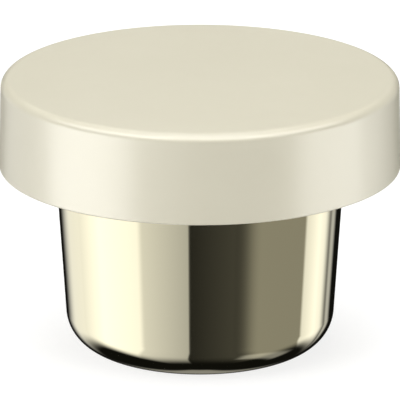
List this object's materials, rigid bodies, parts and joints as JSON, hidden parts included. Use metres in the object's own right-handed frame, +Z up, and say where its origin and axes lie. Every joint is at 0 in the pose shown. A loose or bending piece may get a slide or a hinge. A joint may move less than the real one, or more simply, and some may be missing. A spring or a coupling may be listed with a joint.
{
  "type": "cosmetic cream jar",
  "caption": "Round cream jar with a wide flat screw lid that overhangs a tapered mirror-polished cup, with a sealing disc and pull tab inside.",
  "frame": {"origin": "centre of the base, on the surface the jar stands on", "axes": "+Z up along the jar's axis of revolution; the pull tab's free end points along -Y"},
  "size_m": [0.076, 0.076, 0.0526],
  "materials": {
    "champagne_metal": "polished",
    "ivory_lid": "satin",
    "white_plastic": "satin",
    "disc_plastic": "satin",
    "liner_wad": "matte",
    "cream": "satin",
    "weight_steel": "satin",
    "label_film": "satin"
  },
  "bodies": {
    "jar": {"outer_cup": "champagne_metal", "base_label": "label_film", "base_weight": "weight_steel", "inner_cup": "white_plastic", "neck_collar": "champagne_metal", "cream": "cream"},
    "disc": {"sealing_disc": "disc_plastic"},
    "tab": {"disc_tab": "disc_plastic"},
    "liner": {"lid_liner": "liner_wad"},
    "lid": {"lid_shell": "ivory_lid", "lid_base_plate": "ivory_lid", "lid_insert": "white_plastic", "lid_weight": "weight_steel"}
  },
  "joints": [
    {"name": "lid_rise", "type": "slide", "parent": "jar", "child": "liner", "axis": [0, 0, 1], "range_m": [0, 0.0421]},
    {"name": "lid_turn", "type": "hinge", "parent": "liner", "child": "lid", "pos_m": [0, 0, 0.05], "axis": [0, 0, 1], "range_deg": [0, 1260]},
    {"name": "disc_lift", "type": "slide", "parent": "jar", "child": "disc", "axis": [0, 0, 1], "range_m": [0, 0.0141]},
    {"name": "tab_fold", "type": "hinge", "parent": "disc", "child": "tab", "pos_m": [0, 0.0045, 0.0464], "axis": [-1, 0, 0], "range_deg": [0, 80.5]}
  ],
  "couplings": [
    {"joint": "lid_rise", "follows": "lid_turn", "m_per_rad": 0.0019099},
    {"joint": "disc_lift", "follows": "lid_turn", "m_per_rad": 0.00063662},
    {"joint": "tab_fold", "follows": "lid_turn", "ratio": 0.063492}
  ]
}
